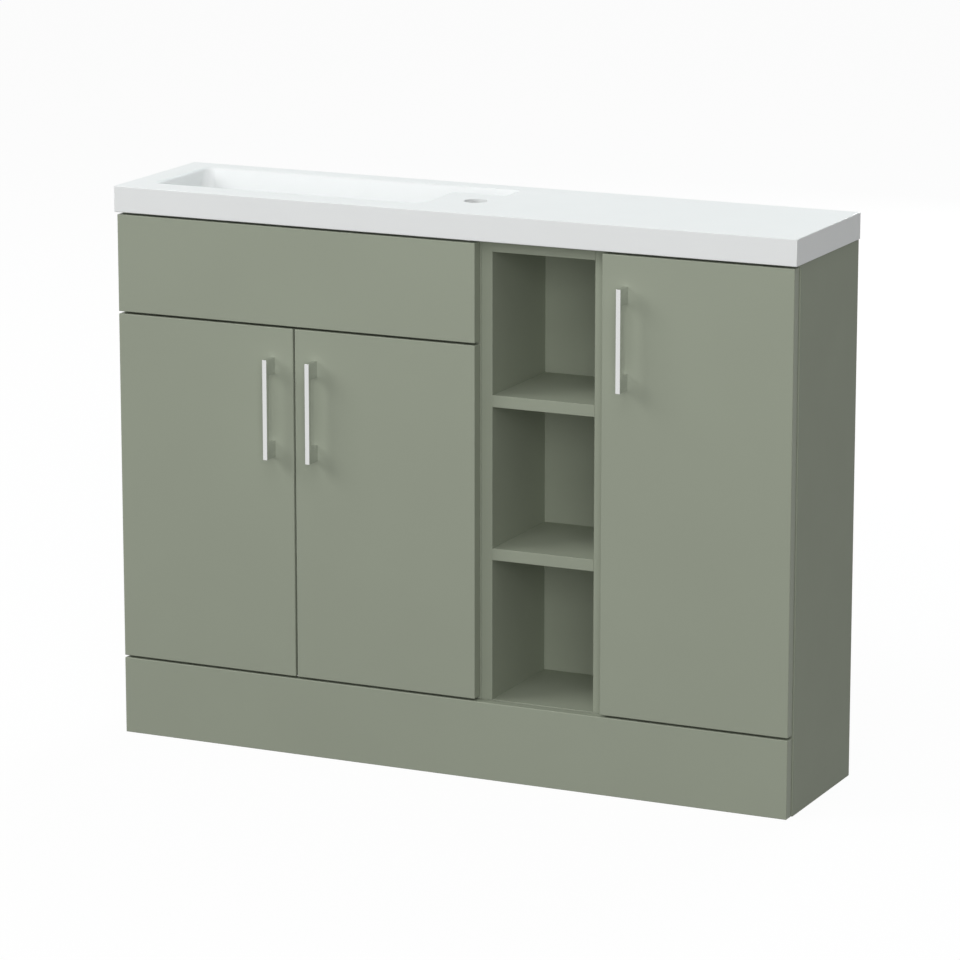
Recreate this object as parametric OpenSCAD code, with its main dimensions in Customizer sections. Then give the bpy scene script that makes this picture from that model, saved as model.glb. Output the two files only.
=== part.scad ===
// Slimline combination vanity unit: a two-door basin unit, an open shelf unit and a one-door cupboard
// stand side by side on one plinth, under a one-piece cast top with an offset bowl.
// The origin is on the floor, at the middle of the width and of the depth with the handles.
// X runs to the right as seen from the front, Y towards the wall and Z up.

/* [Carcass] */
// Thickness of the faced boards
board_t = 18; // [15:1:19]
// Width of the basin unit
vanity_w = 600; // [580:5:700]
// Width of the open shelf unit
shelf_w = 200; // [160:5:300]
// Width of the cupboard unit
cupboard_w = 300; // [250:5:500]
// Height of the side boards, floor to top
carcass_h = 816; // [790:1:860]
// Depth of the side boards
carcass_d = 233; // [225:1:300]
// Thickness of the back panels
back_t = 8; // [3:1:12]
// Depth of the pipe space behind the back panels
service_void = 36; // [25:1:50]
// Height of the rails that join the sides
rail_h = 100; // [70:5:110]
// Rounding of the edge bands
band_r = 0.8; // [0.5:0.1:1.5]

/* [Fronts] */
// Thickness of the doors, the fascia and the plinth
front_t = 18; // [16:1:22]
// Room that the door bumpers leave between a door and the carcass
bumper_gap = 2; // [1.8:0.1:3]
// Distance from the edge of a unit to the edge of its door
side_reveal = 1.5; // [1:0.5:3]
// Gap between the two basin unit doors
middle_gap = 3; // [2:0.5:5]
// Gap above and below a front
front_gap = 3.5; // [2.5:0.5:5]
// Height of the fixed fascia in front of the bowl
fascia_h = 149; // [130:1:170]
// Rounding of the edges of the fronts
front_r = 1.2; // [1:0.1:1.6]

/* [Plinth] */
// Height of the plinth
plinth_h = 119.5; // [100:0.5:160]
// Joint between the top of the plinth and the boards above it
plinth_joint = 0.5; // [0.2:0.1:1]

/* [Shelves] */
// Play at each end of the loose cupboard shelf
shelf_play = 1.2; // [1:0.1:2]
// Radius of a shelf pin
pin_r = 2.5; // [2:0.25:3]
// Spacing of the shelf pin holes
pin_pitch = 32; // [25:1:40]
// Rows of shelf pin holes in a column
pin_rows = 5; // [3:2:7]

/* [Top] */
// Thickness of the top at its edge
top_t = 40; // [36:1:60]
// Overhang of the top at each side
top_side_over = 2.5; // [0:0.5:10]
// Overhang of the top past the fronts
top_front_over = 2; // [0:0.5:10]
// Rounding of the edges of the top
top_r = 1.5; // [1:0.5:4]
// Thickness of the cast plate between its ribs
plate_t = 12; // [10:1:16]
// Thickness of the turned-down front edge
front_apron_t = 24; // [22:1:30]
// Thickness of the turned-down side edges
side_apron_t = 24; // [20.5:0.5:32]
// Thickness of the turned-down rear edge
rear_apron_t = 30; // [20:1:34]
// Width of a rib over a pair of side boards
rib_w = 42; // [38:1:60]

/* [Bowl] */
// Left end of the top to the bowl
bowl_left_rim = 38; // [34:1:60]
// Front edge of the top to the bowl
bowl_front_rim = 47; // [44:1:56]
// Bowl to the rear edge of the top
bowl_back_rim = 31; // [28:1:40]
// Length of the bowl
bowl_length = 454; // [380:1:460]
// Depth of the bowl below the top
bowl_depth = 90; // [70:1:96]
// Thickness of the bowl wall
bowl_wall = 9; // [6:0.5:10]
// Rounding of the rim
rim_r = 3.5; // [2:0.5:5]
// Radius of the three small corners of the bowl in plan
bowl_corner_r = 14; // [11:1:20]
// Radius of the front corner beside the tap
bowl_tap_corner_r = 28; // [20:1:34]
// Rounding between the bowl wall and its floor
floor_r = 22; // [14:1:26]
// Fall of the floor to the waste
floor_fall = 3; // [1:0.5:5]
// Radius of the waste hole
waste_r = 22.5; // [20:0.5:24]
// Radius of the flat seat of the waste flange
waste_seat_r = 33; // [31:0.5:34]
// Length of the channel behind the tap ledge
channel_length = 83; // [60:1:86]
// Width of the channel behind the tap ledge
channel_w = 57; // [50:1:66]
// Bowl to the middle of the tap hole
tap_from_bowl = 62; // [50:1:66]
// Front edge of the top to the middle of the tap hole
tap_from_front = 106; // [90:1:112]
// Radius of the tap hole
tap_r = 17.5; // [16:0.5:18]

/* [Handles] */
// Overall length of a handle
handle_l = 153; // [140:1:200]
// Distance between the handle screws
handle_centres = 128; // [120:1:132]
// Width of the handle bar and feet
handle_w = 7; // [6.5:0.5:14]
// Thickness of the handle bar
handle_bar_t = 7; // [4:0.5:9]
// Reach of a handle in front of the door
handle_reach = 28; // [24:1:40]
// Top of the door to the top of the handle
handle_drop = 45; // [30:1:80]
// Free edge of a basin unit door to the middle of its handle
handle_from_edge = 34; // [28:1:50]
// Free edge of the cupboard door to the middle of its handle
cupboard_handle_from_edge = 37.5; // [28:0.5:50]
// Rounding of the handle edges
handle_r = 0.4; // [0.2:0.1:0.8]

/* [Hinges] */
// Hinge edge of the door to the hinge pin
pin_edge = 6.8; // [6.6:0.1:6.8]
// Front of the door to the hinge pin
pin_depth = 8; // [7.8:0.1:8.2]
// Hinge edge of the door to the cup bore
cup_edge = 3; // [2.8:0.1:3.1]
// Depth of the cup bore from the back of the door
cup_depth = 13.2; // [13:0.1:13.4]
// Thickness of the pressed steel of the cup
cup_t = 0.7; // [0.5:0.1:0.8]
// Radius of the hinge pin
hinge_pin_r = 1.25; // [1:0.05:1.3]
// Front edge of the carcass to the screws of the mounting plate
plate_setback = 37; // [37:1:45]
// Bottom of the cupboard and basin doors to the lower hinge
hinge_from_bottom = 90; // [80:5:120]
// Top of the doors to the upper hinge
hinge_from_top = 90; // [80:5:120]

/* [Fixings] */
// Radius of the dowels
dowel_r = 4; // [3:0.5:4.5]
// Length of the dowels
dowel_l = 25; // [20:1:26]
// Spacing of the wall fixing holes in the rear rails
wall_hole_span = 160; // [100:5:180]
// Radius of the wall fixing holes
wall_hole_r = 3; // [2.5:0.5:4]

/* [Hidden] */
$fn = 48;
fit = 0.05;
steel_t = 1.5;
cup_r = 17.5;

left_x = -(vanity_w + shelf_w + cupboard_w) / 2;
shelf_x = left_x + vanity_w;
cupboard_x = shelf_x + shelf_w;
right_x = cupboard_x + cupboard_w;

wall_y = (carcass_d + bumper_gap + front_t + handle_reach) / 2;
front_y = wall_y - carcass_d;
door_back_y = front_y - bumper_gap;
door_y = door_back_y - front_t;
back_y = wall_y - service_void - back_t;
rail_y = wall_y - board_t;

base_z = plinth_h + plinth_joint;
door_z = plinth_h + front_gap;
fascia_z = carcass_h - front_gap - fascia_h;
door_top_z = fascia_z - front_gap;
cupboard_door_top_z = carcass_h - front_gap;
roof_z = carcass_h - board_t;

// Inner faces of the sides, and the clear widths between them
vanity_in = [left_x + board_t, shelf_x - board_t];
shelf_in = [shelf_x + board_t, cupboard_x - board_t];
cupboard_in = [cupboard_x + board_t, right_x - board_t];

// The front rail stands behind the joint of the fascia and the doors, under the bowl
front_rail_z = door_top_z - 20;
rail_room = 4;
front_rail_top_z = min(front_rail_z + rail_h,
                       carcass_h + top_t - bowl_depth - floor_fall - bowl_wall - rail_room);
rear_rail_z = front_rail_z;
low_rail_z = base_z + board_t;
hang_rail_z = roof_z - rail_h;

// The open shelves share out the height between the base and the top of their unit
shelf_floor_z = plinth_h + plinth_joint;
bay_h = (roof_z - shelf_floor_z - 2 * board_t) / 3;
lower_shelf_z = shelf_floor_z + bay_h;
upper_shelf_z = lower_shelf_z + board_t + bay_h;
loose_shelf_z = (base_z + board_t + roof_z - board_t) / 2;

// Dowels: three across the depth of a full board, two in the height of a rail
dowel_inset = 35;
deep_rows = [front_y + dowel_inset, (front_y + wall_y) / 2, wall_y - dowel_inset];
shelf_rows = [front_y + dowel_inset, (front_y + back_y) / 2, back_y - dowel_inset];
rail_inset = 22;
dowel_play = 0.5;
front_rail_mid_y = front_y + board_t / 2;
rear_rail_mid_y = rail_y + board_t / 2;

function ends(span, rows, z) = [for (x = span, y = rows) [x, y, z + board_t / 2]];
function rail_ends(span, y, z0, z1) = [for (x = span, z = [z0 + rail_inset, z1 - rail_inset]) [x, y, z]];

vanity_base_dowels = ends(vanity_in, deep_rows, base_z);
front_rail_dowels = rail_ends(vanity_in, front_rail_mid_y, front_rail_z, front_rail_top_z);
rear_rail_dowels = rail_ends(vanity_in, rear_rail_mid_y, rear_rail_z, rear_rail_z + rail_h);
low_rail_dowels = rail_ends(vanity_in, rear_rail_mid_y, low_rail_z, low_rail_z + rail_h);
shelf_base_dowels = ends(shelf_in, deep_rows, shelf_floor_z - board_t);
shelf_top_dowels = ends(shelf_in, deep_rows, roof_z);
lower_shelf_dowels = ends(shelf_in, shelf_rows, lower_shelf_z);
upper_shelf_dowels = ends(shelf_in, shelf_rows, upper_shelf_z);
cupboard_base_dowels = ends(cupboard_in, deep_rows, base_z);
cupboard_top_dowels = ends(cupboard_in, deep_rows, roof_z);
hang_rail_dowels = rail_ends(cupboard_in, rear_rail_mid_y, hang_rail_z, hang_rail_z + rail_h);

vanity_dowels = concat(vanity_base_dowels, front_rail_dowels, rear_rail_dowels, low_rail_dowels);
shelf_dowels = concat(shelf_base_dowels, shelf_top_dowels, lower_shelf_dowels, upper_shelf_dowels);
cupboard_dowels = concat(cupboard_base_dowels, cupboard_top_dowels, hang_rail_dowels);

// Shelf pin holes run up both sides of the cupboard, in two columns
pin_hole_depth = 9;
pin_cols = [front_y + 45, back_y - 45];
pin_z = loose_shelf_z - pin_r;

// Hinges: the inner face that carries each one, the way into the unit, and the heights
hinge_zs = [door_z + hinge_from_bottom, door_top_z - hinge_from_top];
tall_hinge_zs = [door_z + hinge_from_bottom, cupboard_door_top_z - hinge_from_top];
hinges = concat([for (z = hinge_zs) [vanity_in[0], 1, z]],
                [for (z = hinge_zs) [vanity_in[1], -1, z]],
                [for (z = tall_hinge_zs) [cupboard_in[1], -1, z]]);

// In a hinge's own frame X runs into the unit from the inner face of the side, and Y towards the wall
// from its front edge
hinge_pin = [side_reveal + pin_edge - board_t, pin_depth - front_t - bumper_gap];
cup_x = side_reveal + cup_edge + cup_r - board_t;
cup_play = 0.1;
cup_flange_t = 0.8;
cup_inner_r = cup_r - cup_play - cup_t;
cup_screw_dx = 4.5;
cup_screw_dz = 22.5;
eye_r = 2.1;
eye_half = 4.5;
neck_half = 7;
neck_t = 2.4;
limb_x = 1.1;
web_x = 5;
web_t = 1.6;
arm_half = 8;
arm_end = plate_setback + 24;
arm_lap = 14;
arm_screw_ys = [plate_setback - 6, plate_setback + 14];
plate_front = 11;
plate_rear = 23;
plate_half = arm_half - web_t;
plate_screw_dz = 16;
wing_half = 27;
wing_w = 11;
wing_t = 2;

// Angle brackets: [inner face, way into the unit, lowest edge]
bracket_leg = 26;
bracket_h = 20;
plinth_bracket_z = 50;
fascia_bracket_z = carcass_h - 50;
vanity_faces = [[vanity_in[0], 1], [vanity_in[1], -1]];
cupboard_faces = [[cupboard_in[0], 1], [cupboard_in[1], -1]];
plinth_brackets_at = [for (f = concat(vanity_faces, cupboard_faces)) [f[0], f[1], plinth_bracket_z]];
fascia_brackets_at = [for (f = vanity_faces) [f[0], f[1], fascia_bracket_z]];
screw_inset = 9;

// Screws are placed by the point under the head and the way the head looks
screw_r = 1.75;
screw_head_r = 3.4;
screw_head_h = 1.6;
bracket_screw_l = 13;
plate_screw_l = 14;
cup_screw_l = 10;
handle_screw_r = 2;
handle_screw_in = 8;
handle_hole_r = 2.25;
joining_screw_l = board_t + 12;
joining_inset = 80;
joining_zs = [base_z + joining_inset, door_top_z - joining_inset];
joining_ys = [front_y + 60, back_y - 20];

// Placed as [point, way]: the head looks along the way, which is "x" or "y" and a sign
function bracket_side_screws(list) = [for (b = list, dy = [steel_t + screw_inset, bracket_leg - 5])
    [[b[0] + b[1] * steel_t, door_back_y + dy, b[2] + bracket_h / 2], "x", b[1]]];
function bracket_front_screws(list) = [for (b = list, dx = [steel_t + screw_inset, bracket_leg - 5])
    [[b[0] + b[1] * dx, door_back_y + steel_t, b[2] + bracket_h / 2], "y", 1]];
function joining_places(face, way) = [for (y = joining_ys, z = joining_zs) [[face, y, z], "x", way]];

plate_screws_at = [for (h = hinges, s = [-1, 1])
    [[h[0] + h[1] * wing_t, front_y + plate_setback, h[2] + s * plate_screw_dz], "x", h[1]]];
vanity_joining = joining_places(vanity_in[1], -1);
cupboard_joining = joining_places(cupboard_in[0], 1);

// Doors: [left edge, right edge, bottom, top, way to the free edge from the hinge, free edge to handle]
middle_x = (left_x + shelf_x) / 2;
left_door_at = [left_x + side_reveal, middle_x - middle_gap / 2, door_z, door_top_z, 1, handle_from_edge];
right_door_at = [middle_x + middle_gap / 2, shelf_x - side_reveal, door_z, door_top_z, -1, handle_from_edge];
cupboard_door_at = [cupboard_x + side_reveal, right_x - side_reveal, door_z, cupboard_door_top_z, -1,
                    cupboard_handle_from_edge];
bumper_r = 4;
bumper_play = 0.3;
vanity_bumper_zs = [base_z + board_t / 2, door_top_z - 10];
cupboard_bumper_zs = [door_z + 30, cupboard_door_top_z - 30];

// The cast top, its bowl and its channel
top_x0 = left_x - top_side_over;
top_x1 = right_x + top_side_over;
top_y0 = door_y - top_front_over;
top_z = carcass_h + top_t;
bowl_x0 = top_x0 + bowl_left_rim;
bowl_x1 = bowl_x0 + bowl_length;
bowl_y0 = top_y0 + bowl_front_rim;
bowl_y1 = wall_y - bowl_back_rim;
wall_draft = 0.07;
back_slope = 0.35;
channel_end_slope = 1.2;
channel_depth = 74;
channel_lap = 40;
dish_inset = 5;
ring_gap = 20;
seat_margin = 3;
waste_x = (bowl_x0 + bowl_x1) / 2;
waste_y = (bowl_y0 + bowl_y1 + (wall_draft - back_slope) * bowl_depth) / 2;
waste_seat_z = top_z - bowl_depth - floor_fall - 0.5;
tap_x = bowl_x1 + tap_from_bowl;
tap_y = top_y0 + tap_from_front;
plan_steps = 8;
arc_steps = 5;

green = [0.56, 0.585, 0.53];
white = [0.95, 0.95, 0.945];
steel = [0.78, 0.78, 0.77];
brushed = [0.8, 0.8, 0.78];
beech = [0.82, 0.66, 0.46];
clear = [0.9, 0.92, 0.92];

// Flat outline of a board seen on edge, with its front corners rounded by the edge band
module banded(depth, thick) {
    translate([band_r, 0]) square([depth - band_r, thick]);
    translate([0, band_r]) square([2 * band_r, thick - 2 * band_r]);
    for (v = [band_r, thick - band_r]) translate([band_r, v]) circle(band_r);
}

// Rectangle with rounded corners
module soft_rect(w, h, r) {
    translate([r, 0]) square([w - 2 * r, h]);
    translate([0, r]) square([w, h - 2 * r]);
    for (u = [r, w - r], v = [r, h - r]) translate([u, v]) circle(r);
}

// Block with all its edges rounded, from its lowest corner
module soft_block(p, size, r) {
    translate(p) intersection() {
        linear_extrude(size[2]) soft_rect(size[0], size[1], r);
        translate([0, size[1], 0]) rotate([90, 0, 0])
            linear_extrude(size[1]) soft_rect(size[0], size[2], r);
        rotate([90, 0, 90]) linear_extrude(size[0]) soft_rect(size[1], size[2], r);
    }
}

// Bores for dowels that lie along X and are centred on the joint
module dowel_bores(points) {
    for (p = points) translate([p[0] - dowel_l / 2 - dowel_play, p[1], p[2]]) rotate([0, 90, 0])
        cylinder(r = dowel_r + fit, h = dowel_l + 2 * dowel_play);
}

// Turns the Z axis to look along a named way
module look(way, sign) {
    rotate(way == "x" ? [0, 90 * sign, 0] : [-90 * sign, 0, 0]) children();
}

// Pan head screw with a crossed drive, hanging down from the origin
module screw(r, length, head_r, head_h) {
    difference() {
        union() {
            translate([0, 0, -length]) cylinder(r = r, h = length);
            rotate_extrude() polygon(concat([[0, 0]],
                [for (a = [0 : 15 : 90]) [head_r * (0.8 + 0.2 * cos(a)), head_h * (0.45 + 0.55 * sin(a))]],
                [[0, head_h]]));
            cylinder(r = head_r, h = head_h * 0.45);
        }
        for (turn = [0, 90]) rotate(turn) translate([-head_r * 0.55, -0.4, head_h * 0.4])
            cube([head_r * 1.1, 0.8, head_h]);
    }
}

module screws(places, length) {
    for (p = places) translate(p[0]) look(p[1], p[2]) screw(screw_r, length, screw_head_r, screw_head_h);
}

module screw_bores(places, length) {
    for (p = places) translate(p[0]) look(p[1], p[2]) translate([0, 0, -length - fit])
        cylinder(r = screw_r + fit, h = length + 1);
}

// Upright board from the floor to the top, with its front edge banded
module upright(x, z0, z1) {
    translate([x + board_t, front_y, z0]) linear_extrude(z1 - z0) rotate(90) banded(carcass_d, board_t);
}

// Level board across a unit, with its front edge banded
module level(span, y0, y1, z) {
    translate([span[0], y0, z]) rotate([90, 0, 90])
        linear_extrude(span[1] - span[0]) banded(y1 - y0, board_t);
}

// Board on edge across a unit
module rail(span, y, z0, z1) {
    translate([span[0], y, z0]) cube([span[1] - span[0], board_t, z1 - z0]);
}

// Side of a unit, bored for the dowels and the screws that enter it
module side(x, dowels) {
    difference() {
        upright(x, 0, carcass_h);
        dowel_bores(dowels);
        children();
    }
}

// Column of shelf pin holes through the inner skin of a cupboard side
module pin_bores(face, way) {
    for (y = pin_cols, i = [0 : pin_rows - 1])
        translate([face, y, pin_z + (i - (pin_rows - 1) / 2) * pin_pitch]) look("x", way)
            translate([0, 0, -pin_hole_depth]) cylinder(r = pin_r + fit, h = pin_hole_depth + 1);
}

module vanity_side_left() {
    color(green) side(left_x, vanity_dowels) {
        screw_bores(plate_screws_at, plate_screw_l);
        screw_bores(bracket_side_screws(concat(plinth_brackets_at, fascia_brackets_at)), bracket_screw_l);
    }
}

module vanity_side_right() {
    color(green) side(vanity_in[1], vanity_dowels) {
        screw_bores(plate_screws_at, plate_screw_l);
        screw_bores(bracket_side_screws(concat(plinth_brackets_at, fascia_brackets_at)), bracket_screw_l);
        screw_bores(vanity_joining, joining_screw_l);
    }
}

module vanity_base() {
    color(green) difference() {
        level(vanity_in, front_y, wall_y, base_z);
        dowel_bores(vanity_base_dowels);
    }
}

module vanity_front_rail() {
    color(green) difference() {
        rail(vanity_in, front_y, front_rail_z, front_rail_top_z);
        dowel_bores(front_rail_dowels);
    }
}

// The upper rail is screwed to the wall
module wall_bores(x, z) {
    for (s = [-1, 1]) translate([x + s * wall_hole_span / 2, rail_y - 1, z]) rotate([-90, 0, 0])
        cylinder(r = wall_hole_r, h = board_t + 2);
}

module vanity_rear_rail_upper() {
    color(green) difference() {
        rail(vanity_in, rail_y, rear_rail_z, rear_rail_z + rail_h);
        dowel_bores(rear_rail_dowels);
        wall_bores(middle_x, rear_rail_z + rail_h / 2);
    }
}

module vanity_rear_rail_lower() {
    color(green) difference() {
        rail(vanity_in, rail_y, low_rail_z, low_rail_z + rail_h);
        dowel_bores(low_rail_dowels);
    }
}

module shelf_unit_side_left() {
    color(green) side(shelf_x, shelf_dowels) screw_bores(vanity_joining, joining_screw_l);
}

module shelf_unit_side_right() {
    color(green) side(shelf_in[1], shelf_dowels) screw_bores(cupboard_joining, joining_screw_l);
}

module shelf_unit_top() {
    color(green) difference() {
        level(shelf_in, front_y, wall_y, roof_z);
        dowel_bores(shelf_top_dowels);
    }
}

module shelf_unit_base() {
    color(green) difference() {
        level(shelf_in, front_y, wall_y, shelf_floor_z - board_t);
        dowel_bores(shelf_base_dowels);
    }
}

module shelf_upper() {
    color(green) difference() {
        level(shelf_in, front_y, back_y, upper_shelf_z);
        dowel_bores(upper_shelf_dowels);
    }
}

module shelf_lower() {
    color(green) difference() {
        level(shelf_in, front_y, back_y, lower_shelf_z);
        dowel_bores(lower_shelf_dowels);
    }
}

// Thin back, set forward of the wall to leave room for pipes
module back_panel(span, z0, z1) {
    translate([span[0], back_y, z0]) cube([span[1] - span[0], back_t, z1 - z0]);
}

module shelf_unit_back() {
    color(green) back_panel(shelf_in, shelf_floor_z, roof_z);
}

module cupboard_side_left() {
    color(green) side(cupboard_x, cupboard_dowels) {
        screw_bores(bracket_side_screws(plinth_brackets_at), bracket_screw_l);
        screw_bores(cupboard_joining, joining_screw_l);
        pin_bores(cupboard_in[0], 1);
    }
}

module cupboard_side_right() {
    color(green) side(cupboard_in[1], cupboard_dowels) {
        screw_bores(plate_screws_at, plate_screw_l);
        screw_bores(bracket_side_screws(plinth_brackets_at), bracket_screw_l);
        pin_bores(cupboard_in[1], -1);
    }
}

module cupboard_top() {
    color(green) difference() {
        level(cupboard_in, front_y, wall_y, roof_z);
        dowel_bores(cupboard_top_dowels);
    }
}

module cupboard_base() {
    color(green) difference() {
        level(cupboard_in, front_y, wall_y, base_z);
        dowel_bores(cupboard_base_dowels);
    }
}

module cupboard_rear_rail() {
    color(green) difference() {
        rail(cupboard_in, rail_y, hang_rail_z, roof_z);
        dowel_bores(hang_rail_dowels);
        wall_bores((cupboard_in[0] + cupboard_in[1]) / 2, hang_rail_z + rail_h / 2);
    }
}

module cupboard_back() {
    color(green) back_panel(cupboard_in, base_z + board_t, roof_z);
}

module cupboard_shelf() {
    color(green) level([cupboard_in[0] + shelf_play, cupboard_in[1] - shelf_play],
                       front_y + 12, back_y - 2, loose_shelf_z);
}

// Pins with a collar against the side, under the loose shelf
module shelf_pins() {
    collar_t = 0.8;
    color(steel) for (f = [[cupboard_in[0], 1], [cupboard_in[1], -1]], y = pin_cols)
        translate([f[0], y, pin_z]) look("x", f[1]) {
            translate([0, 0, -pin_hole_depth + 1]) cylinder(r = pin_r, h = pin_hole_depth + 7);
            cylinder(r = pin_r * 1.7, h = collar_t);
        }
}

module plinth() {
    color(green) difference() {
        soft_block([left_x + side_reveal, door_y, 0],
                   [right_x - left_x - 2 * side_reveal, front_t, plinth_h], front_r);
        screw_bores(bracket_front_screws(plinth_brackets_at), bracket_screw_l);
    }
}

// Fixed panel in front of the bowl, in one plane with the doors
module fascia_panel() {
    color(green) difference() {
        soft_block([left_door_at[0], door_y, fascia_z],
                   [right_door_at[1] - left_door_at[0], front_t, fascia_h], front_r);
        screw_bores(bracket_front_screws(fascia_brackets_at), bracket_screw_l);
    }
}

// Folded steel angles behind a fixed front
module brackets(list) {
    color(steel) for (b = list) difference() {
        translate([b[0], door_back_y, b[2]]) scale([b[1], 1, 1]) linear_extrude(bracket_h) {
            square([steel_t, bracket_leg]);
            square([bracket_leg, steel_t]);
        }
        screw_bores(bracket_side_screws([b]), bracket_screw_l);
        screw_bores(bracket_front_screws([b]), bracket_screw_l);
    }
}

module plinth_brackets() {
    brackets(plinth_brackets_at);
}

module fascia_brackets() {
    brackets(fascia_brackets_at);
}

module bracket_screws() {
    all_brackets = concat(plinth_brackets_at, fascia_brackets_at);
    color(steel) {
        screws(bracket_side_screws(all_brackets), bracket_screw_l);
        screws(bracket_front_screws(all_brackets), bracket_screw_l);
    }
}

module carcass_dowels() {
    color(beech) for (p = concat(vanity_dowels, shelf_dowels, cupboard_dowels))
        translate([p[0] - dowel_l / 2, p[1], p[2]]) rotate([0, 90, 0]) cylinder(r = dowel_r, h = dowel_l);
}

module unit_joining_screws() {
    color(steel) screws(concat(vanity_joining, cupboard_joining), joining_screw_l);
}

// Points of a rounded corner in plan
function arc(cx, cy, r, from, turn = 90) = [for (i = [0 : plan_steps])
    let (a = from + turn * i / plan_steps) [cx + r * cos(a), cy + r * sin(a)]];

// Outline of the bowl at one depth. The rear wall is drawn in more than the others, and the corners
// open out with the depth. With grow it is the outer skin.
function bowl_ring(inset, depth, grow) = let (
    drop = max(depth, 0),
    left = bowl_x0 + inset + wall_draft * drop,
    right = bowl_x1 - inset - wall_draft * drop,
    front = bowl_y0 + inset + wall_draft * drop,
    rear = bowl_y1 - inset - back_slope * drop,
    round = min(bowl_corner_r + 0.2 * drop + grow, (rear - front) / 2 - 2),
    tap_round = min(bowl_tap_corner_r + grow, (rear - front) / 2 - 2))
    [for (p = concat(arc(right - round, rear - round, round, 0),
                     arc(left + round, rear - round, round, 90),
                     arc(left + round, front + round, round, 180),
                     arc(right - tap_round, front + tap_round, tap_round, 270)))
        [p[0], p[1], top_z - depth]];

// Wall of the bowl as [inset, depth]: a rounded rim, a straight drop and a rounded foot.
// The outer skin starts under the plate.
function bowl_wall_line(grow) = concat(
    grow == 0 ? concat([[0, -1]], [for (i = [1 : arc_steps]) let (a = 90 * i / arc_steps)
        [rim_r * sin(a), rim_r * (1 - cos(a))]]) : [[rim_r - grow, plate_t - 1]],
    [for (i = [0 : arc_steps]) let (a = 90 * i / arc_steps, r = floor_r + grow)
        [rim_r - grow + r * (1 - cos(a)), bowl_depth - floor_r + r * sin(a)]]);

// Round ring inside the waste seat, in four parts that answer to the corners of the bowl
function waste_ring(z) = [for (c = [0 : 3],
    p = arc(waste_x, waste_y, waste_seat_r - dish_inset, 90 * c + ring_gap / 2, 90 - ring_gap))
    [p[0], p[1], z]];

// Solid through a stack of rings, from the highest to the lowest
module loft(rings) {
    n = len(rings[0]);
    last = len(rings) - 1;
    polyhedron(points = [for (r = rings, p = r) p],
        faces = concat([[for (i = [n - 1 : -1 : 0]) i]],
            [for (k = [0 : last - 1], i = [0 : n - 1]) let (a = k * n + i, b = k * n + (i + 1) % n) each
                [[a, b + n, a + n], [a, b, b + n]]],
            [[for (i = [0 : n - 1]) last * n + i]]));
}

// Bowl as a solid, with a floor that falls to the waste
module bowl(grow) {
    loft(concat([for (w = bowl_wall_line(grow)) bowl_ring(w[0], w[1], grow)],
                [waste_ring(top_z - bowl_depth - grow - floor_fall)]));
}

// Channel behind the tap ledge as a solid: it is ramped down into the bowl from its far end
module channel(grow) {
    rear = bowl_y1 - rim_r + grow;
    front = bowl_y1 - rim_r - channel_w - grow;
    near = bowl_x1 - channel_lap;
    far = bowl_x1 + channel_length + grow * sqrt(1 + pow(channel_end_slope, 2));
    foot = channel_depth + grow;
    head = grow == 0 ? -1 : plate_t - 1;
    intersection() {
        translate([0, rear, top_z]) rotate([90, 0, 0]) linear_extrude(rear - front)
            polygon([[near, -head], [far - channel_end_slope * head, -head],
                     [far - channel_end_slope * foot, -foot], [near, -foot]]);
        translate([near - 1, 0, top_z]) rotate([90, 0, 90]) linear_extrude(far - near + 2 * grow + 2)
            polygon([[front + wall_draft * head, -head], [front + wall_draft * foot, -foot],
                     [rear - back_slope * foot, -foot], [rear - back_slope * head, -head]]);
    }
}

// Cast top: a ribbed plate with turned-down edges, and the bowl hung from it
module basin_top() {
    pocket_y = [top_y0 + front_apron_t, wall_y - rear_apron_t];
    pockets = [[top_x0 + side_apron_t, shelf_x - rib_w / 2], [shelf_x + rib_w / 2, cupboard_x - rib_w / 2],
               [cupboard_x + rib_w / 2, top_x1 - side_apron_t]];
    color(white) difference() {
        union() {
            difference() {
                soft_block([top_x0, top_y0, carcass_h], [top_x1 - top_x0, wall_y - top_y0, top_t], top_r);
                for (p = pockets) translate([p[0], pocket_y[0], carcass_h - 1])
                    cube([p[1] - p[0], pocket_y[1] - pocket_y[0], top_t - plate_t + 1]);
            }
            bowl(bowl_wall);
            channel(bowl_wall);
            translate([waste_x, waste_y, waste_seat_z - bowl_wall])
                cylinder(r = waste_seat_r + seat_margin, h = bowl_wall);
        }
        bowl(0);
        channel(0);
        translate([tap_x, tap_y, carcass_h]) cylinder(r = tap_r, h = top_t + 1);
        translate([waste_x, waste_y, waste_seat_z]) cylinder(r = waste_seat_r, h = floor_fall + 2);
        translate([waste_x, waste_y, waste_seat_z - bowl_wall - 1])
            cylinder(r = waste_r, h = bowl_wall + 2);
    }
}

// Moves a child to a hinge, mirrored for a right-hand side
module at_hinge(h) {
    translate([h[0], front_y, h[2]]) scale([h[1], 1, 1]) children();
}

// Cruciform plate on the side board: a raised body between two screwed wings
module hinge_mounting_plates() {
    color(steel) for (h = hinges) difference() {
        at_hinge(h) union() {
            translate([0, plate_setback - plate_front, -plate_half])
                cube([web_x, plate_front + plate_rear, 2 * plate_half]);
            translate([0, plate_setback - wing_w / 2, -wing_half + wing_w / 2])
                cube([wing_t, wing_w, 2 * wing_half - wing_w]);
            for (s = [-1, 1]) translate([0, plate_setback, s * (wing_half - wing_w / 2)])
                rotate([0, 90, 0]) cylinder(r = wing_w / 2, h = wing_t);
        }
        screw_bores(plate_screws_at, plate_screw_l);
        at_hinge(h) arm_screw_bores();
    }
}

module hinge_plate_screws() {
    color(steel) screws(plate_screws_at, plate_screw_l);
}

module arm_screw_bores() {
    for (y = arm_screw_ys) translate([0.5, y, 0]) rotate([0, 90, 0]) cylinder(r = screw_r + fit, h = 10);
}

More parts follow.
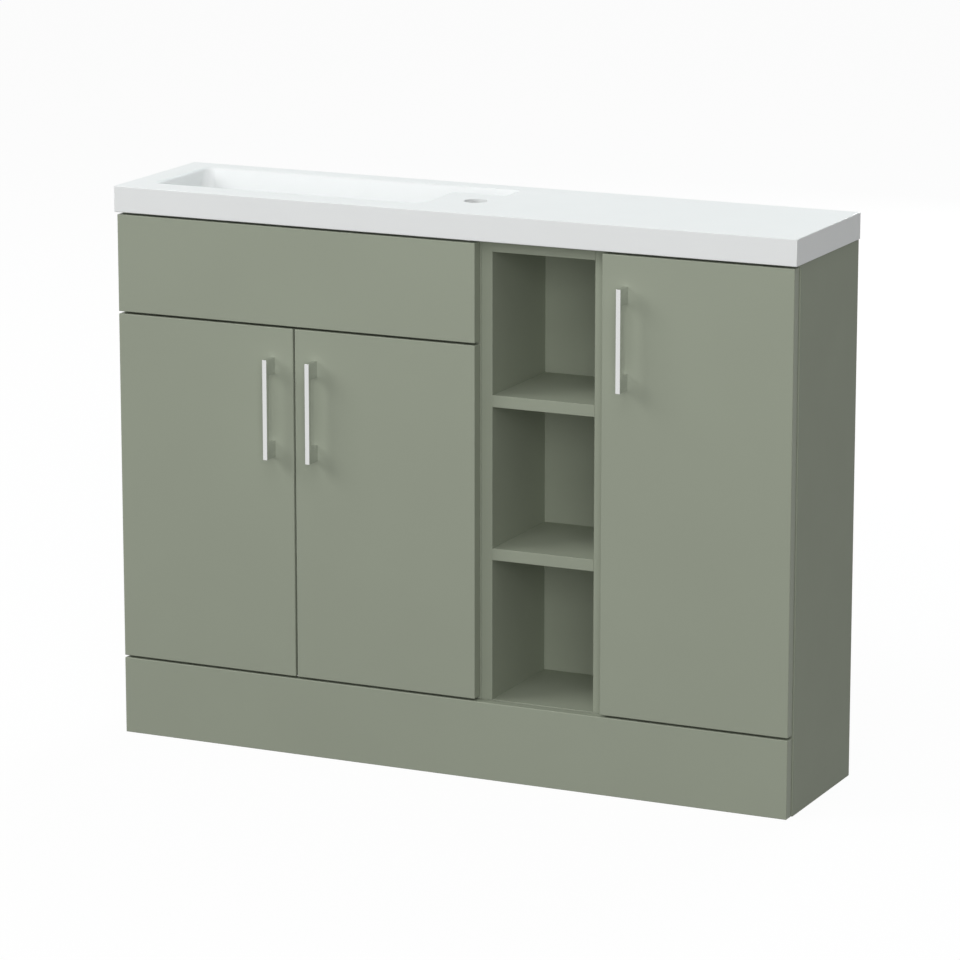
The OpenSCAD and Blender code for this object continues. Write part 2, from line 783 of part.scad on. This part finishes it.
// Plan of the arm: an eye on the pin, a neck into the cup, a limb past the edge of the door and a web
module arm_plan() {
    y0 = hinge_pin[1] - eye_r;
    x1 = limb_x + neck_t;
    bend = 3;
    inner = bend - neck_t;
    difference() {
        union() {
            polygon(concat([[hinge_pin[0], y0]],
                [for (a = [-90 : 15 : 0]) [x1 - bend + bend * cos(a), y0 + bend + bend * sin(a)]],
                [[x1, arm_lap], [web_x + web_t, arm_lap + 8], [web_x + web_t, arm_end], [web_x, arm_end],
                 [web_x, arm_lap + 9], [limb_x, arm_lap + 1]],
                [for (a = [0 : -15 : -90]) [x1 - bend + inner * cos(a), y0 + bend + inner * sin(a)]],
                [[hinge_pin[0], y0 + neck_t]]));
            translate(hinge_pin) circle(eye_r);
        }
        translate(hinge_pin) circle(hinge_pin_r + fit);
    }
}

module hinge_arms() {
    eye_end = hinge_pin[0] + eye_r + 2.5;
    flange_x = wing_t + 0.3;
    color(steel) for (h = hinges) at_hinge(h) difference() {
        union() {
            translate([0, 0, -eye_half]) linear_extrude(2 * eye_half) arm_plan();
            translate([0, 0, -neck_half]) linear_extrude(2 * neck_half) intersection() {
                arm_plan();
                translate([eye_end, -board_t - front_t])
                    square([web_x + web_t - eye_end, board_t + front_t + arm_end]);
            }
            for (s = [-1, 1]) translate([flange_x, arm_lap + 9, s * (arm_half - web_t / 2) - web_t / 2])
                cube([web_x + web_t - flange_x, arm_end - arm_lap - 9, web_t]);
            translate([web_x, arm_lap + 9, -arm_half]) cube([web_t, arm_end - arm_lap - 9, 2 * arm_half]);
        }
        arm_screw_bores();
    }
}

module hinge_arm_screws() {
    color(steel) for (h = hinges, y = arm_screw_ys)
        translate([h[0] + h[1] * (web_x + web_t), front_y + y, h[2]]) look("x", h[1])
            screw(screw_r, web_x, screw_head_r, screw_head_h);
}

// Holes for the handle screws, measured on the finished door
function handle_x(d) = d[4] > 0 ? d[1] - d[5] : d[0] + d[5];
function handle_zs(d) = [for (s = [-1, 1]) d[3] - handle_drop - handle_l / 2 + s * handle_centres / 2];
function door_hinges(d) = [for (h = hinges)
    if (h[0] + h[1] * cup_x > d[0] && h[0] + h[1] * cup_x < d[1]) h];
function cup_screws_at(d) = [for (h = door_hinges(d), s = [-1, 1])
    [[h[0] + h[1] * (cup_x + cup_screw_dx), door_back_y + cup_flange_t, h[2] + s * cup_screw_dz], "y", 1]];

// Slab door with rounded edges, bored for its hinges, its handle and their screws
module door(d) {
    color(green) difference() {
        soft_block([d[0], door_y, d[2]], [d[1] - d[0], front_t, d[3] - d[2]], front_r);
        for (h = door_hinges(d))
            translate([h[0] + h[1] * cup_x, door_back_y - cup_depth, h[2]]) rotate([-90, 0, 0])
                cylinder(r = cup_r, h = cup_depth + 1, $fn = 96);
        for (z = handle_zs(d)) translate([handle_x(d), door_y - 1, z]) rotate([-90, 0, 0])
            cylinder(r = handle_hole_r, h = front_t + 2);
        screw_bores(cup_screws_at(d), cup_screw_l + 1);
    }
}

// Square bar on two block feet
module handle(d) {
    z0 = d[3] - handle_drop - handle_l;
    x0 = handle_x(d) - handle_w / 2;
    foot_h = handle_l - handle_centres;
    color(brushed) difference() {
        union() {
            soft_block([x0, door_y - handle_reach, z0], [handle_w, handle_bar_t, handle_l], handle_r);
            for (z = [z0, z0 + handle_centres])
                soft_block([x0, door_y - handle_reach, z], [handle_w, handle_reach, foot_h], handle_r);
        }
        for (z = handle_zs(d))
            translate([handle_x(d), door_y - handle_screw_in - 1, z]) rotate([-90, 0, 0])
                cylinder(r = handle_screw_r + fit, h = handle_screw_in + 2);
    }
}

module handle_screws(d) {
    color(steel) for (z = handle_zs(d)) translate([handle_x(d), door_back_y, z]) look("y", 1)
        screw(handle_screw_r, front_t + handle_screw_in, 4, 2.2);
}

// Drawn steel cup with a flange that is screwed to the back of the door
module hinge_cups(d) {
    outer_r = cup_r - cup_play;
    flange_margin = 7;
    flange_x0 = hinge_pin[0] + flange_margin;
    flange_half = cup_screw_dz + flange_margin - 1;
    color(steel) for (h = door_hinges(d)) difference() {
        union() {
            at_hinge(h) translate([cup_x, -bumper_gap - cup_depth, 0]) rotate([-90, 0, 0])
                cylinder(r = outer_r, h = cup_depth, $fn = 96);
            at_hinge(h) translate([flange_x0, -bumper_gap, -flange_half])
                cube([cup_x + cup_screw_dx + flange_margin - flange_x0, cup_flange_t, 2 * flange_half]);
            at_hinge(h) intersection() {
                translate([cup_x, -bumper_gap, 0]) rotate([-90, 0, 0])
                    cylinder(r = cup_r + 3, h = cup_flange_t, $fn = 96);
                translate([flange_x0, -bumper_gap, -flange_half])
                    cube([2 * flange_half, cup_flange_t, 2 * flange_half]);
            }
        }
        at_hinge(h) translate([cup_x, cup_t - bumper_gap - cup_depth, 0]) rotate([-90, 0, 0])
            cylinder(r = cup_inner_r, h = cup_depth + 1, $fn = 96);
        at_hinge(h) translate([hinge_pin[0], hinge_pin[1], -cup_r])
            cylinder(r = hinge_pin_r + fit / 5, h = 2 * cup_r);
        screw_bores(cup_screws_at(d), cup_screw_l + 1);
    }
}

// The pin is riveted in the wall of the cup, with its ends dressed to the round of the cup
module hinge_pins(d) {
    color(steel) for (h = door_hinges(d)) at_hinge(h) intersection() {
        translate([hinge_pin[0], hinge_pin[1], -cup_r]) cylinder(r = hinge_pin_r, h = 2 * cup_r);
        translate([cup_x, -bumper_gap - cup_depth, 0]) rotate([-90, 0, 0])
            cylinder(r = cup_r - cup_play - cup_t / 3, h = cup_depth, $fn = 96);
    }
}

module cup_screws(d) {
    color(steel) screws(cup_screws_at(d), cup_screw_l);
}

// Small clear buffers at the free edge
module bumpers(d, zs) {
    x = d[4] > 0 ? d[1] - board_t / 2 + side_reveal : d[0] + board_t / 2 - side_reveal;
    h = bumper_gap - bumper_play;
    color(clear) for (z = zs) translate([x, door_back_y, z]) rotate([-90, 0, 0]) rotate_extrude()
        polygon([[0, 0], [bumper_r, 0], [bumper_r, h * 0.4], [bumper_r - 1, h * 0.85],
                 [bumper_r - 2, h], [0, h]]);
}

module left_door() { door(left_door_at); }
module left_door_handle() { handle(left_door_at); }
module left_door_handle_screws() { handle_screws(left_door_at); }
module left_door_hinge_cups() { hinge_cups(left_door_at); }
module left_door_hinge_pins() { hinge_pins(left_door_at); }
module left_door_cup_screws() { cup_screws(left_door_at); }
module left_door_bumpers() { bumpers(left_door_at, vanity_bumper_zs); }
module right_door() { door(right_door_at); }
module right_door_handle() { handle(right_door_at); }
module right_door_handle_screws() { handle_screws(right_door_at); }
module right_door_hinge_cups() { hinge_cups(right_door_at); }
module right_door_hinge_pins() { hinge_pins(right_door_at); }
module right_door_cup_screws() { cup_screws(right_door_at); }
module right_door_bumpers() { bumpers(right_door_at, vanity_bumper_zs); }
module cupboard_door() { door(cupboard_door_at); }
module cupboard_door_handle() { handle(cupboard_door_at); }
module cupboard_door_handle_screws() { handle_screws(cupboard_door_at); }
module cupboard_door_hinge_cups() { hinge_cups(cupboard_door_at); }
module cupboard_door_hinge_pins() { hinge_pins(cupboard_door_at); }
module cupboard_door_cup_screws() { cup_screws(cupboard_door_at); }
module cupboard_door_bumpers() { bumpers(cupboard_door_at, cupboard_bumper_zs); }

vanity_side_left();
vanity_side_right();
vanity_base();
vanity_front_rail();
vanity_rear_rail_upper();
vanity_rear_rail_lower();
shelf_unit_side_left();
shelf_unit_side_right();
shelf_unit_top();
shelf_unit_base();
shelf_upper();
shelf_lower();
shelf_unit_back();
cupboard_side_left();
cupboard_side_right();
cupboard_top();
cupboard_base();
cupboard_rear_rail();
cupboard_back();
cupboard_shelf();
shelf_pins();
plinth();
plinth_brackets();
fascia_panel();
fascia_brackets();
bracket_screws();
basin_top();
carcass_dowels();
unit_joining_screws();
hinge_mounting_plates();
hinge_plate_screws();
hinge_arms();
hinge_arm_screws();
left_door();
left_door_handle();
left_door_handle_screws();
left_door_hinge_cups();
left_door_hinge_pins();
left_door_cup_screws();
left_door_bumpers();
right_door();
right_door_handle();
right_door_handle_screws();
right_door_hinge_cups();
right_door_hinge_pins();
right_door_cup_screws();
right_door_bumpers();
cupboard_door();
cupboard_door_handle();
cupboard_door_handle_screws();
cupboard_door_hinge_cups();
cupboard_door_hinge_pins();
cupboard_door_cup_screws();
cupboard_door_bumpers();
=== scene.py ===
import math

import bmesh
import bpy
from mathutils import Matrix, Vector


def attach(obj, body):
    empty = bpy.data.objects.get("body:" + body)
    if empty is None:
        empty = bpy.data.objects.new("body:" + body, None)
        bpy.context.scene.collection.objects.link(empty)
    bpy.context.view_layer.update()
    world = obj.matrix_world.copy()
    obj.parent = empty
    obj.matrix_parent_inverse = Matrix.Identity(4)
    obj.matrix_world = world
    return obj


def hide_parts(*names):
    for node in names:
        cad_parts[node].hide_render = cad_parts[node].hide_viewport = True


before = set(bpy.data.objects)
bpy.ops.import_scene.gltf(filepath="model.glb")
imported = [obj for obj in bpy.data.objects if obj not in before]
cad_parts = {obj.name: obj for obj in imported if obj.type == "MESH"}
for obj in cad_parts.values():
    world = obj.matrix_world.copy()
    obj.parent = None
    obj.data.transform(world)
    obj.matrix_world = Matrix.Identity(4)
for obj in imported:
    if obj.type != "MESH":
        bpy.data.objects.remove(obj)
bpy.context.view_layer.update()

# --- Camera
# The photograph is a product view through a long lens. It looks from the front right and from a little
# above the top, so that the upper face of the basin shows as a narrow band.
camera_data = bpy.data.cameras.new("camera")
camera_data.sensor_width = 36.0
camera_data.lens = 172.09
camera_data.clip_end = 100.0
camera = bpy.data.objects.new("camera", camera_data)
camera_turn = math.radians(25.09)
camera_rise = math.radians(12.94)
camera_back = Vector((
    math.sin(camera_turn) * math.cos(camera_rise),
    -math.cos(camera_turn) * math.cos(camera_rise),
    math.sin(camera_rise),
))
camera_right = Vector((math.cos(camera_turn), math.sin(camera_turn), 0.0))
camera_axes = Matrix((camera_right, camera_back.cross(camera_right), camera_back)).transposed()
camera_place = Vector((2.8535, -6.0845, 1.97435))
camera.matrix_world = Matrix.Translation(camera_place) @ camera_axes.to_4x4()
bpy.context.scene.collection.objects.link(camera)
bpy.context.scene.camera = camera
bpy.context.scene.view_settings.view_transform = "Standard"


# --- Studio floor and light
# A seamless white sweep of painted paper lies under the unit. White walls and a ceiling all round give
# the even light that reaches the sides, and square softboxes stand in front, overhead and behind.
def linear(code):
    """A colour written as sRGB hex, as the linear values that Blender takes."""
    parts = [int(code[i:i + 2], 16) / 255 for i in (1, 3, 5)]
    return [c / 12.92 if c <= 0.04045 else ((c + 0.055) / 1.055) ** 2.4 for c in parts] + [1.0]


def add_node(tree, kind, settings=None, links=None):
    """A node with its settings, by attribute, socket name or socket number, and the sockets that feed it.

    Sockets 6 and 7 of a colour mix are the two colours that it mixes.
    """
    node = tree.nodes.new(kind)
    for key, value in (settings or {}).items():
        if isinstance(key, str) and key not in node.inputs:
            setattr(node, key, value)
        else:
            node.inputs[key].default_value = value
    for key, source in (links or {}).items():
        tree.links.new(source, node.inputs[key])
    return node


def new_material(name):
    """An empty material and its node tree."""
    material = bpy.data.materials.new(name)
    material.use_nodes = True
    material.node_tree.nodes.clear()
    return material, material.node_tree


def where_seen(tree):
    """1 for the rays that show a surface, directly, mirrored or through glass, and 0 for its light."""
    ray = add_node(tree, "ShaderNodeLightPath")
    seen = add_node(tree, "ShaderNodeMath", {"operation": "ADD"}, {
        0: ray.outputs["Is Camera Ray"], 1: ray.outputs["Is Glossy Ray"]})
    seen = add_node(tree, "ShaderNodeMath", {"operation": "ADD", "use_clamp": True}, {
        0: seen.outputs[0], 1: ray.outputs["Is Transmission Ray"]})
    return seen.outputs[0]


floor_reach = 40.0
floor_shape = bmesh.new()
bmesh.ops.create_grid(floor_shape, x_segments=1, y_segments=1, size=floor_reach)
floor_mesh = bpy.data.meshes.new("studio_floor")
floor_shape.to_mesh(floor_mesh)
floor_shape.free()
studio_floor = bpy.data.objects.new("studio_floor", floor_mesh)
bpy.context.scene.collection.objects.link(studio_floor)

# Painted paper: white where it is seen, and much darker for the light that it throws back. It shows its
# own white for the most part, and takes so little light that only a soft trace of the shadow is left.
paper_glow = 0.95
paper, nodes = new_material("matt_white_paper")
seen = where_seen(nodes)
paper_colour = add_node(nodes, "ShaderNodeMix", {
    "data_type": "RGBA", 6: linear("#6E6E6C"), 7: linear("#FFFFFF")}, {0: seen})
paper_matt = add_node(nodes, "ShaderNodeBsdfDiffuse", {}, {"Color": paper_colour.outputs[2]})
paper_white = add_node(nodes, "ShaderNodeEmission", {"Color": linear("#FFFFFF"), "Strength": 1.0})
share = add_node(nodes, "ShaderNodeMath", {"operation": "MULTIPLY", 1: paper_glow}, {0: seen})
paper_mix = add_node(nodes, "ShaderNodeMixShader", {}, {
    0: share.outputs[0], 1: paper_matt.outputs[0], 2: paper_white.outputs[0]})
add_node(nodes, "ShaderNodeOutputMaterial", {}, {"Surface": paper_mix.outputs[0]})
floor_mesh.materials.append(paper)

# White walls all round. They have a strength of 1 where they are seen, and light the unit with about a
# third of that.
wall_share = 0.35
walls = bpy.data.worlds.new("white_studio_walls")
walls.use_nodes = True
nodes = walls.node_tree
nodes.nodes.clear()
wall_strength = add_node(nodes, "ShaderNodeMath", {
    "operation": "MULTIPLY_ADD", 1: 1.0 - wall_share, 2: wall_share}, {0: where_seen(nodes)})
wall_light = add_node(nodes, "ShaderNodeBackground", {"Color": linear("#FFFFFF")}, {
    "Strength": wall_strength.outputs[0]})
add_node(nodes, "ShaderNodeOutputWorld", {}, {"Surface": wall_light.outputs[0]})
bpy.context.scene.world = walls

# Square softboxes: place, side in metres, watts and colour. The largest, beside the camera, reaches into
# the open shelves. Two more light the front, and two the rear, of which the high one is a little cooler.
unit_middle = Vector((0.0, 0.0, 0.5))
for name, place, side, watts, tint in (
    ("camera_side_softbox", (2.6, -5.6, 1.9), 3.5, 130.0, "#FFFFFF"),
    ("front_softbox", (0.2, -2.2, 3.4), 2.0, 25.0, "#FFFFFF"),
    ("high_left_softbox", (-3.9, -2.6, 3.4), 2.5, 102.0, "#FFFFFF"),
    ("high_rear_softbox", (0.4, 3.8, 4.6), 2.0, 62.0, "#E8FFFF"),
    ("low_rear_softbox", (0.0, 5.0, 1.3), 1.2, 100.0, "#FFFFFF"),
):
    lamp = bpy.data.lights.new(name, "AREA")
    lamp.shape = "SQUARE"
    lamp.size = side
    lamp.energy = watts
    lamp.color = linear(tint)[:3]
    stand = bpy.data.objects.new(name, lamp)
    stand.location = place
    stand.rotation_mode = "QUATERNION"
    stand.rotation_quaternion = (unit_middle - stand.location).to_track_quat("-Z", "Y")
    bpy.context.scene.collection.objects.link(stand)


# --- Carcass boards
# The sides, bases, tops, rails and shelves are 18 mm chipboard faced with sage green melamine. They are
# sawn to size, edged along the front with a 2 mm band, and dowelled and glued together.
def give_finish(names, material):
    """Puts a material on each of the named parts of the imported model."""
    for name in names:
        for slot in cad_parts[name].material_slots:
            slot.material = material


boards_front_y = -0.0925
boards_rear_y = 0.1405
band_thick = 0.002
hairline = 0.0003
hairline_depth = 0.3
sawn_skin = 0.0002

# Melamine facing: pressed on a fine pearl plate, so it has a soft sheen and a very fine even texture. A
# hairline shows where the edge band meets it, and the sawn rear edges show bare chips, 2.4 mm across. The
# tone drifts over 90 mm. The pearl grain is drawn 1.4 mm across, as the real one is too fine to show.
faced_board, nodes = new_material("sage_melamine_on_chipboard")
place = add_node(nodes, "ShaderNodeTexCoord")
axes = add_node(nodes, "ShaderNodeSeparateXYZ", {}, {0: place.outputs["Object"]})
cloud = add_node(nodes, "ShaderNodeTexNoise", {"Scale": 11.0, "Detail": 3.0, "Roughness": 0.5}, {
    "Vector": place.outputs["Object"]})
green = add_node(nodes, "ShaderNodeMix", {"data_type": "RGBA", 6: linear("#989E8E"), 7: linear("#9EA594")}, {
    0: cloud.outputs["Fac"]})
band_joint = add_node(nodes, "ShaderNodeMath", {
    "operation": "COMPARE", 1: boards_front_y + band_thick, 2: hairline}, {0: axes.outputs["Y"]})
band_joint = add_node(nodes, "ShaderNodeMath", {"operation": "MULTIPLY", 1: hairline_depth}, {
    0: band_joint.outputs[0]})
green = add_node(nodes, "ShaderNodeMix", {"data_type": "RGBA", 7: linear("#5E6456")}, {
    0: band_joint.outputs[0], 6: green.outputs[2]})
chips = add_node(nodes, "ShaderNodeTexVoronoi", {"Scale": 420.0}, {"Vector": place.outputs["Object"]})
chip_colours = add_node(nodes, "ShaderNodeMix", {
    "data_type": "RGBA", 6: linear("#9C7F58"), 7: linear("#CDB68F")}, {0: chips.outputs["Distance"]})
sawn = add_node(nodes, "ShaderNodeMath", {
    "name": "sawn_rear_edge", "operation": "GREATER_THAN", 1: boards_rear_y - sawn_skin}, {
    0: axes.outputs["Y"]})
board_colour = add_node(nodes, "ShaderNodeMix", {"data_type": "RGBA"}, {
    0: sawn.outputs[0], 6: green.outputs[2], 7: chip_colours.outputs[2]})
pearl = add_node(nodes, "ShaderNodeTexNoise", {"Scale": 700.0, "Detail": 2.0}, {
    "Vector": place.outputs["Object"]})
board_sheen = add_node(nodes, "ShaderNodeMapRange", {"To Min": 0.5, "To Max": 0.6}, {
    "Value": pearl.outputs["Fac"]})
pearl_relief = add_node(nodes, "ShaderNodeBump", {"Strength": 0.25, "Distance": 0.00008}, {
    "Height": pearl.outputs["Fac"]})
board_surface = add_node(nodes, "ShaderNodeBsdfPrincipled", {"IOR": 1.5, "Specular IOR Level": 0.12}, {
    "Base Color": board_colour.outputs[2], "Roughness": board_sheen.outputs[0],
    "Normal": pearl_relief.outputs[0]})
add_node(nodes, "ShaderNodeOutputMaterial", {}, {"Surface": board_surface.outputs[0]})

give_finish([
    "vanity_side_left", "vanity_side_right", "vanity_base",
    "shelf_unit_side_left", "shelf_unit_side_right", "shelf_unit_top", "shelf_unit_base",
    "shelf_upper", "shelf_lower",
    "cupboard_side_left", "cupboard_side_right", "cupboard_top", "cupboard_base", "cupboard_shelf",
], faced_board)

# Rails and backs turn their faces to the wall, so they are green there. The sawn edge starts beyond them.
beyond_wall = 1.0
rail_board = faced_board.copy()
rail_board.name = "sage_melamine_on_rails"
rail_board.node_tree.nodes["sawn_rear_edge"].inputs[1].default_value = beyond_wall
give_finish([
    "vanity_front_rail", "vanity_rear_rail_upper", "vanity_rear_rail_lower", "cupboard_rear_rail",
    "shelf_unit_back", "cupboard_back",
], rail_board)


# --- Dowels
# Beech dowels, 8 mm thick, sit in blind bores at each end of a board. They are turned along the grain.
# Beech: pale, warm and straight-grained, with dark flecks along the grain, 17 mm long and 1.1 mm apart.
beech, nodes = new_material("turned_beech")
place = add_node(nodes, "ShaderNodeTexCoord")
grain_place = add_node(nodes, "ShaderNodeMapping", {"Scale": (60.0, 900.0, 900.0)}, {
    "Vector": place.outputs["Object"]})
grain = add_node(nodes, "ShaderNodeTexNoise", {"Scale": 1.0, "Detail": 4.0}, {
    "Vector": grain_place.outputs[0]})
beech_colour = add_node(nodes, "ShaderNodeMix", {
    "data_type": "RGBA", 6: linear("#B98F62"), 7: linear("#DDBE93")}, {0: grain.outputs["Fac"]})
grain_relief = add_node(nodes, "ShaderNodeBump", {"Strength": 0.3, "Distance": 0.00005}, {
    "Height": grain.outputs["Fac"]})
beech_surface = add_node(nodes, "ShaderNodeBsdfPrincipled", {"Roughness": 0.6}, {
    "Base Color": beech_colour.outputs[2], "Normal": grain_relief.outputs[0]})
add_node(nodes, "ShaderNodeOutputMaterial", {}, {"Surface": beech_surface.outputs[0]})
give_finish(["carcass_dowels"], beech)


# --- Brackets, screws, shelf pins and hinges
# Folded angles, pan head screws, shelf pins and the drawn and pressed pieces of the cup hinges are mild
# steel. They are barrel plated, which leaves a bright but slightly soft surface.
# Nickel plate: a warm grey metal with small differences in gloss from the tumbling, 4 mm across.
plated_steel, nodes = new_material("nickel_plated_steel")
place = add_node(nodes, "ShaderNodeTexCoord")
tumbling = add_node(nodes, "ShaderNodeTexNoise", {"Scale": 260.0, "Detail": 3.0}, {
    "Vector": place.outputs["Object"]})
plate_colour = add_node(nodes, "ShaderNodeMix", {
    "data_type": "RGBA", 6: linear("#B4B3AE"), 7: linear("#CAC9C4")}, {0: tumbling.outputs["Fac"]})
plate_sheen = add_node(nodes, "ShaderNodeMapRange", {"To Min": 0.2, "To Max": 0.36}, {
    "Value": tumbling.outputs["Fac"]})
plate_surface = add_node(nodes, "ShaderNodeBsdfPrincipled", {"Metallic": 1.0}, {
    "Base Color": plate_colour.outputs[2], "Roughness": plate_sheen.outputs[0]})
add_node(nodes, "ShaderNodeOutputMaterial", {}, {"Surface": plate_surface.outputs[0]})

doors = ["left_door", "right_door", "cupboard_door"]
give_finish(["plinth_brackets", "fascia_brackets", "bracket_screws", "unit_joining_screws", "shelf_pins",
             "hinge_mounting_plates", "hinge_plate_screws", "hinge_arms", "hinge_arm_screws"], plated_steel)
for door in doors:
    give_finish([door + "_handle_screws", door + "_hinge_cups", door + "_hinge_pins", door + "_cup_screws"],
                plated_steel)


# --- Doors, fascia and plinth
# The fronts are 18 mm fibreboard with softly rounded edges, sprayed all over in the same sage green. The
# doors hang on two cup hinges each. The fascia and the plinth, screwed to angles, stand flush with them.
# Satin lacquer: an even half gloss, with the faint peel that a spray gun leaves, 3 mm across. The coats
# drift in tone and gloss over 170 mm.
satin_lacquer, nodes = new_material("sage_satin_lacquer_on_fibreboard")
place = add_node(nodes, "ShaderNodeTexCoord")
coats = add_node(nodes, "ShaderNodeTexNoise", {"Scale": 6.0, "Detail": 2.0}, {
    "Vector": place.outputs["Object"]})
lacquer_colour = add_node(nodes, "ShaderNodeMix", {
    "data_type": "RGBA", 6: linear("#9AA090"), 7: linear("#9EA594")}, {0: coats.outputs["Fac"]})
peel = add_node(nodes, "ShaderNodeTexNoise", {"Scale": 330.0, "Detail": 2.0}, {
    "Vector": place.outputs["Object"]})
lacquer_sheen = add_node(nodes, "ShaderNodeMapRange", {"To Min": 0.42, "To Max": 0.5}, {
    "Value": coats.outputs["Fac"]})
peel_relief = add_node(nodes, "ShaderNodeBump", {"Strength": 0.2, "Distance": 0.0001}, {
    "Height": peel.outputs["Fac"]})
lacquer_surface = add_node(nodes, "ShaderNodeBsdfPrincipled", {"IOR": 1.5, "Specular IOR Level": 0.2}, {
    "Base Color": lacquer_colour.outputs[2], "Roughness": lacquer_sheen.outputs[0],
    "Normal": peel_relief.outputs[0]})
add_node(nodes, "ShaderNodeOutputMaterial", {}, {"Surface": lacquer_surface.outputs[0]})
give_finish(doors + ["fascia_panel", "plinth"], satin_lacquer)


# --- Handles
# Each handle is a 7 mm square bar of steel with a foot at each end, brushed along its length and screwed
# through the door from behind. Its edges are broken by hand, so that they catch the light.
seam_gap = 0.00001
sliver = 0.000005


def smooth_copy(node, name, sharp):
    """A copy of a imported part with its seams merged, shaded smooth up to the given angle in degrees."""
    shape = bmesh.new()
    shape.from_mesh(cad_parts[node].data)
    bmesh.ops.remove_doubles(shape, verts=shape.verts, dist=seam_gap)
    bmesh.ops.dissolve_degenerate(shape, edges=shape.edges, dist=sliver)
    for face in shape.faces:
        face.smooth = True
    for edge in shape.edges:
        edge.smooth = edge.is_manifold and edge.calc_face_angle(math.pi) < math.radians(sharp)
    mesh = bpy.data.meshes.new(name)
    shape.to_mesh(mesh)
    shape.free()
    piece = bpy.data.objects.new(name, mesh)
    bpy.context.scene.collection.objects.link(piece)
    even_light = piece.modifiers.new("even_light", "WEIGHTED_NORMAL")
    even_light.keep_sharp = True
    return piece


# Brushed steel: fine scratches along Z stretch each highlight across the bar. They are 25 mm long, and
# drawn 0.4 mm apart, as real ones are too fine to show.
brushed_steel, nodes = new_material("brushed_steel")
place = add_node(nodes, "ShaderNodeTexCoord")
brush_place = add_node(nodes, "ShaderNodeMapping", {"Scale": (2600.0, 2600.0, 40.0)}, {
    "Vector": place.outputs["Object"]})
scratches = add_node(nodes, "ShaderNodeTexNoise", {"Scale": 1.0, "Detail": 3.0}, {
    "Vector": brush_place.outputs[0]})
steel_colour = add_node(nodes, "ShaderNodeMix", {
    "data_type": "RGBA", 6: linear("#D4D5D4"), 7: linear("#E4E5E4")}, {0: scratches.outputs["Fac"]})
steel_sheen = add_node(nodes, "ShaderNodeMapRange", {"To Min": 0.1, "To Max": 0.18}, {
    "Value": scratches.outputs["Fac"]})
scratch_relief = add_node(nodes, "ShaderNodeBump", {"Strength": 0.05, "Distance": 0.00001}, {
    "Height": scratches.outputs["Fac"]})
steel_surface = add_node(nodes, "ShaderNodeBsdfPrincipled", {"Metallic": 1.0}, {
    "Base Color": steel_colour.outputs[2], "Roughness": steel_sheen.outputs[0],
    "Normal": scratch_relief.outputs[0]})
add_node(nodes, "ShaderNodeOutputMaterial", {}, {"Surface": steel_surface.outputs[0]})

for door in doors:
    handle = smooth_copy(door + "_handle", door + "_bar_handle", sharp=35)
    handle.data.materials.append(brushed_steel)
    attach(handle, door)
    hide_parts(door + "_handle")


# --- Door bumpers
# Small domes of clear polyurethane are stuck to the back of each door at its free edge. They keep it off
# the carcass by 2 mm.
# Clear polyurethane: almost colourless, with a soft gloss and a faint haze in flecks of 1.1 mm.
clear_rubber, nodes = new_material("clear_polyurethane")
place = add_node(nodes, "ShaderNodeTexCoord")
haze = add_node(nodes, "ShaderNodeTexNoise", {"Scale": 900.0}, {"Vector": place.outputs["Object"]})
haze_sheen = add_node(nodes, "ShaderNodeMapRange", {"To Min": 0.12, "To Max": 0.25}, {
    "Value": haze.outputs["Fac"]})
rubber_surface = add_node(nodes, "ShaderNodeBsdfPrincipled", {
    "Base Color": linear("#EEF2F1"), "IOR": 1.49, "Transmission Weight": 0.85}, {
    "Roughness": haze_sheen.outputs[0]})
add_node(nodes, "ShaderNodeOutputMaterial", {}, {"Surface": rubber_surface.outputs[0]})
give_finish([door + "_bumpers" for door in doors], clear_rubber)


# --- Cast top with its bowl
# The top is one casting of mineral filler and resin with a white gel coat, cast face down in a polished
# mould. It lies on the boards by its rim and ribs, and its bowl hangs between the front and rear rails.
# Gel coat: cool white with a soft gloss, and the faint waves of the mould, 40 mm long. Its white drifts a
# little over 110 mm.
gel_coat, nodes = new_material("white_gel_coat_on_cast_resin")
place = add_node(nodes, "ShaderNodeTexCoord")
cast_cloud = add_node(nodes, "ShaderNodeTexNoise", {"Scale": 9.0, "Detail": 3.0}, {
    "Vector": place.outputs["Object"]})
cast_colour = add_node(nodes, "ShaderNodeMix", {
    "data_type": "RGBA", 6: linear("#ECEEEE"), 7: linear("#F0F2F2")}, {0: cast_cloud.outputs["Fac"]})
waves = add_node(nodes, "ShaderNodeTexNoise", {"Scale": 26.0, "Detail": 1.0}, {
    "Vector": place.outputs["Object"]})
cast_sheen = add_node(nodes, "ShaderNodeMapRange", {"To Min": 0.36, "To Max": 0.44}, {
    "Value": waves.outputs["Fac"]})
wave_relief = add_node(nodes, "ShaderNodeBump", {"Strength": 0.04, "Distance": 0.0003}, {
    "Height": waves.outputs["Fac"]})
cast_surface = add_node(nodes, "ShaderNodeBsdfPrincipled", {"IOR": 1.5, "Specular IOR Level": 0.4}, {
    "Base Color": cast_colour.outputs[2], "Roughness": cast_sheen.outputs[0],
    "Normal": wave_relief.outputs[0]})
add_node(nodes, "ShaderNodeOutputMaterial", {}, {"Surface": cast_surface.outputs[0]})

cast_top = smooth_copy("basin_top", "cast_basin_top", sharp=40)
cast_top.data.materials.append(gel_coat)
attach(cast_top, "carcass")
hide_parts("basin_top")
